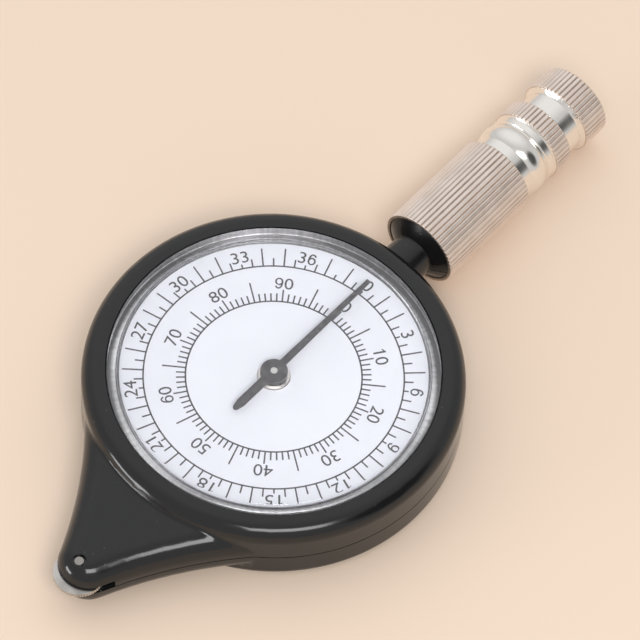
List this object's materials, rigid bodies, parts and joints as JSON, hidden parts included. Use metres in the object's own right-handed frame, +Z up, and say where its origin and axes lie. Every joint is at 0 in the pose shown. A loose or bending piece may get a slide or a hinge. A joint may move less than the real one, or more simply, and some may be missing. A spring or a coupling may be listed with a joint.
{
  "type": "map measurer",
  "caption": "Opisometer: round black case with a dial, pointer and clear lens, a toothed tracing wheel in a snout, a reducing gear train and a knurled metal handle.",
  "frame": {"origin": "centre of the case's flat back, on the dial's axis", "axes": "+Z up out of the dial, +Y from the dial's centre along the handle, +X to the right seen from above the dial"},
  "size_m": [0.0487, 0.0997, 0.0109],
  "materials": {
    "case_plastic": "satin black",
    "clear_lens": "clear acrylic",
    "dial_white": "matt white with dark grey print",
    "pointer_grey": "satin dark grey",
    "steel": "turned steel",
    "nickel": "nickel plate",
    "brass": "turned brass"
  },
  "bodies": {
    "case": {"rear_shell": "case_plastic", "front_shell": "case_plastic", "lens": "clear_lens", "dial": "dial_white", "upper_bush": "nickel", "bridge_plate": "brass", "bridge_screws": "steel", "wheel_pin": "steel", "idler_pin": "steel", "first_pin": "steel", "second_pin": "steel", "handle_barrel": "nickel", "handle_end": "nickel"},
    "tracing_wheel": {"tracing_wheel": "steel", "wheel_pinion": "brass"},
    "idler": {"idler_gear": "brass"},
    "first_arbor": {"first_gear": "brass", "first_pinion": "brass"},
    "second_arbor": {"second_gear": "brass", "second_pinion": "brass"},
    "pointer": {"pointer": "pointer_grey", "pointer_arbor": "steel", "centre_gear": "brass"}
  },
  "joints": [
    {"name": "pointer_turn", "type": "hinge", "parent": "case", "child": "pointer", "pos_m": [0, 0, 0.004], "axis": [0, 0, 1], "continuous": true},
    {"name": "second_turn", "type": "hinge", "parent": "case", "child": "second_arbor", "pos_m": [0.0014, -0.01242, 0.004], "axis": [0, 0, 1], "continuous": true},
    {"name": "first_turn", "type": "hinge", "parent": "case", "child": "first_arbor", "pos_m": [0, -0.02484, 0.004], "axis": [0, 0, 1], "continuous": true},
    {"name": "idler_turn", "type": "hinge", "parent": "case", "child": "idler", "pos_m": [0, -0.03154, 0.004], "axis": [0, 0, 1], "continuous": true},
    {"name": "wheel_turn", "type": "hinge", "parent": "case", "child": "tracing_wheel", "pos_m": [0, -0.03624, 0.004], "axis": [0, 0, 1], "continuous": true}
  ],
  "couplings": [
    {"joint": "second_turn", "follows": "pointer_turn", "ratio": -4},
    {"joint": "first_turn", "follows": "pointer_turn", "ratio": 16},
    {"joint": "idler_turn", "follows": "pointer_turn", "ratio": -12.973},
    {"joint": "wheel_turn", "follows": "pointer_turn", "ratio": 48}
  ]
}
